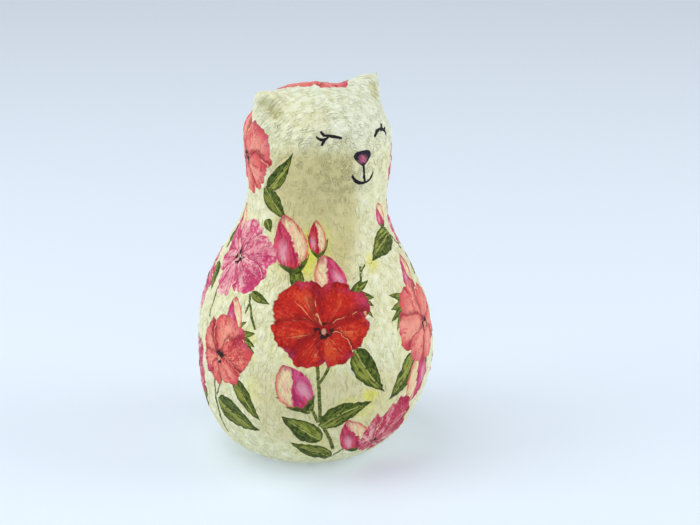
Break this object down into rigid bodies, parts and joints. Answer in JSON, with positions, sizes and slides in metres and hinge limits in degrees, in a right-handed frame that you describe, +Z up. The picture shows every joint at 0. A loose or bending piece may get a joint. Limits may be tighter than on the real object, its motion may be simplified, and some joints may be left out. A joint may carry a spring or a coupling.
{
  "type": "papier-mache cat figure",
  "caption": "Seated pear-shaped cat figure with a low domed head, two short pinched ears and a painted flower print, standing on a flat underside.",
  "frame": {"origin": "on the ground under the middle of the figure", "axes": "+Z up along the figure from its underside to its crown, -Y the way its face looks, +X towards the cat's own left ear"},
  "size_m": [0.0768, 0.0764, 0.1208],
  "materials": {
    "painted_paper": "pasted layered paper, painted cream with a flower print under a satin varnish"
  },
  "bodies": {
    "root": {"papier_mache_cat": "painted_paper"}
  },
  "joints": []
}
